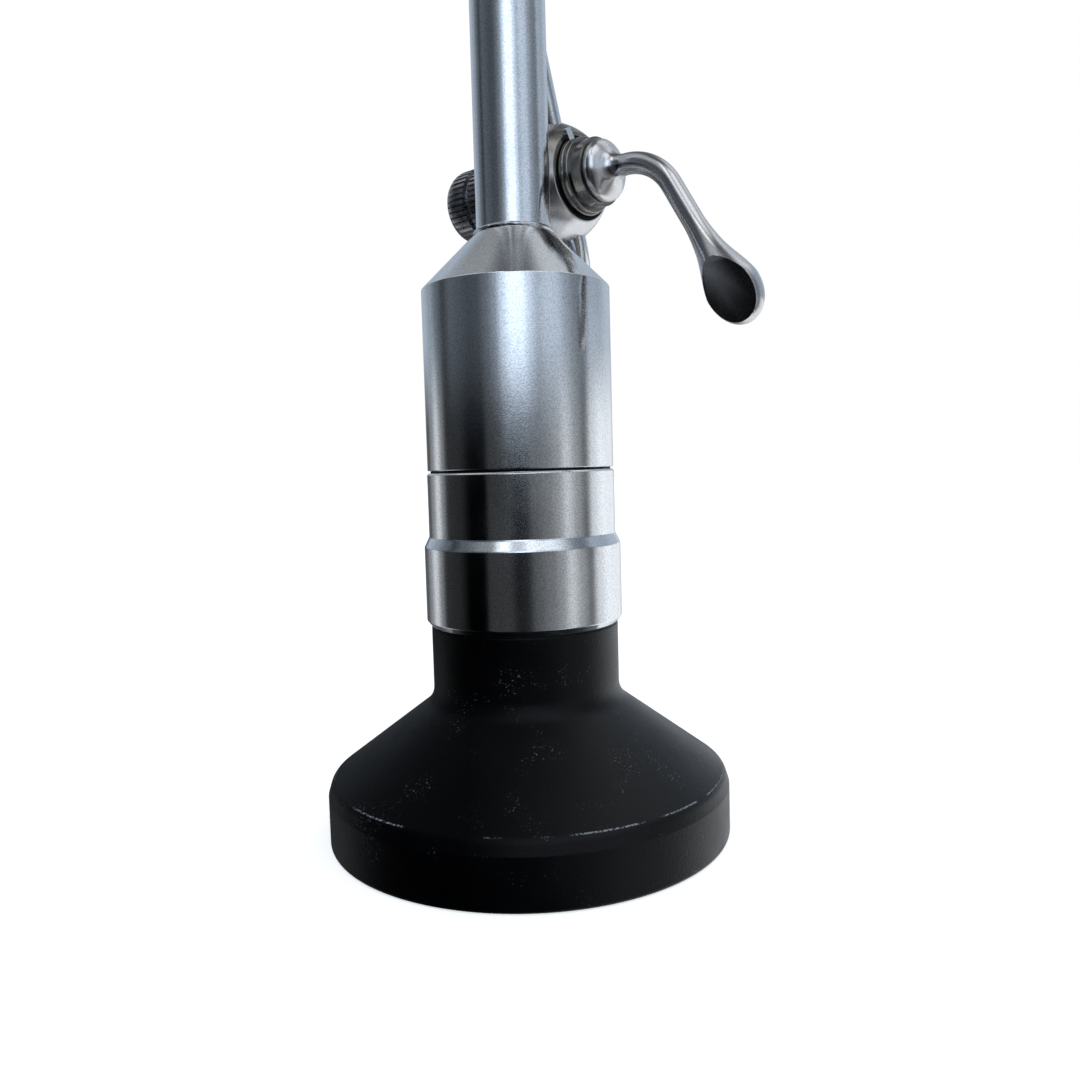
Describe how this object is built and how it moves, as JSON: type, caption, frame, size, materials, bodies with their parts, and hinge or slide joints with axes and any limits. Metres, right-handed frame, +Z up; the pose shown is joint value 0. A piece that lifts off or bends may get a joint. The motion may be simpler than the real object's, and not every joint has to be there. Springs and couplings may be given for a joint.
{
  "type": "cystoscope",
  "caption": "Rigid cystoscope standing on its eyecup: steel barrel, long straight shaft, slanting channel with a lever stopcock, port and light post.",
  "frame": {"origin": "centre of the eyecup's rim, in the plane that it stands on", "axes": "+Z up the shaft to the distal tip, -Y the side that faces the viewer of the picture, +X the side that the stopcock lever hangs on"},
  "size_m": [0.034, 0.0407, 0.285],
  "materials": {
    "black_plastic": "moulded black eyecup plastic, fine grain with a soft sheen",
    "steel": "satin stainless steel, fine bead-blasted with soft highlights",
    "blackened_steel": "blackened knurled steel",
    "blackened_aluminium": "matt black anodised",
    "glass": "polished optical glass",
    "fibre": "glass fibres potted in clear resin",
    "rubber": "black sealing rubber"
  },
  "bodies": {
    "housing": {"eyecup": "black_plastic", "window_ring": "steel", "eyepiece_window": "glass", "ocular_tube": "blackened_aluminium", "lens_retainer": "steel", "eye_lens": "glass", "ocular_spacer": "steel", "field_lens": "glass", "field_stop": "blackened_aluminium", "eyepiece_collar": "steel", "eyecup_seal": "rubber", "barrel_seal": "rubber", "barrel": "steel", "shaft_weld": "steel", "outer_tube": "steel", "distal_tip": "steel", "optic_tube": "steel", "rod_lenses": "glass", "rod_spacers": "steel", "objective_lens": "glass", "distal_window": "glass", "light_fibres": "fibre", "light_lead": "fibre", "light_post": "steel", "light_guide": "glass", "light_adaptor": "steel", "channel_tube": "steel", "stopcock_body": "steel", "stop_lug": "steel", "plug_seal": "rubber", "port_tube": "steel", "luer_port": "steel"},
    "stopcock_key": {"stopcock_plug": "steel", "stopcock_flange": "steel", "stopcock_lever": "steel", "plug_washer": "steel", "disc_springs": "steel", "cap_nut": "blackened_steel"}
  },
  "joints": [
    {"name": "stopcock_turn", "type": "hinge", "parent": "housing", "child": "stopcock_key", "pos_m": [0.00395, 0.00438, 0.0522], "axis": [0.7431, -0.6691, 0], "range_deg": [0, 90]}
  ]
}
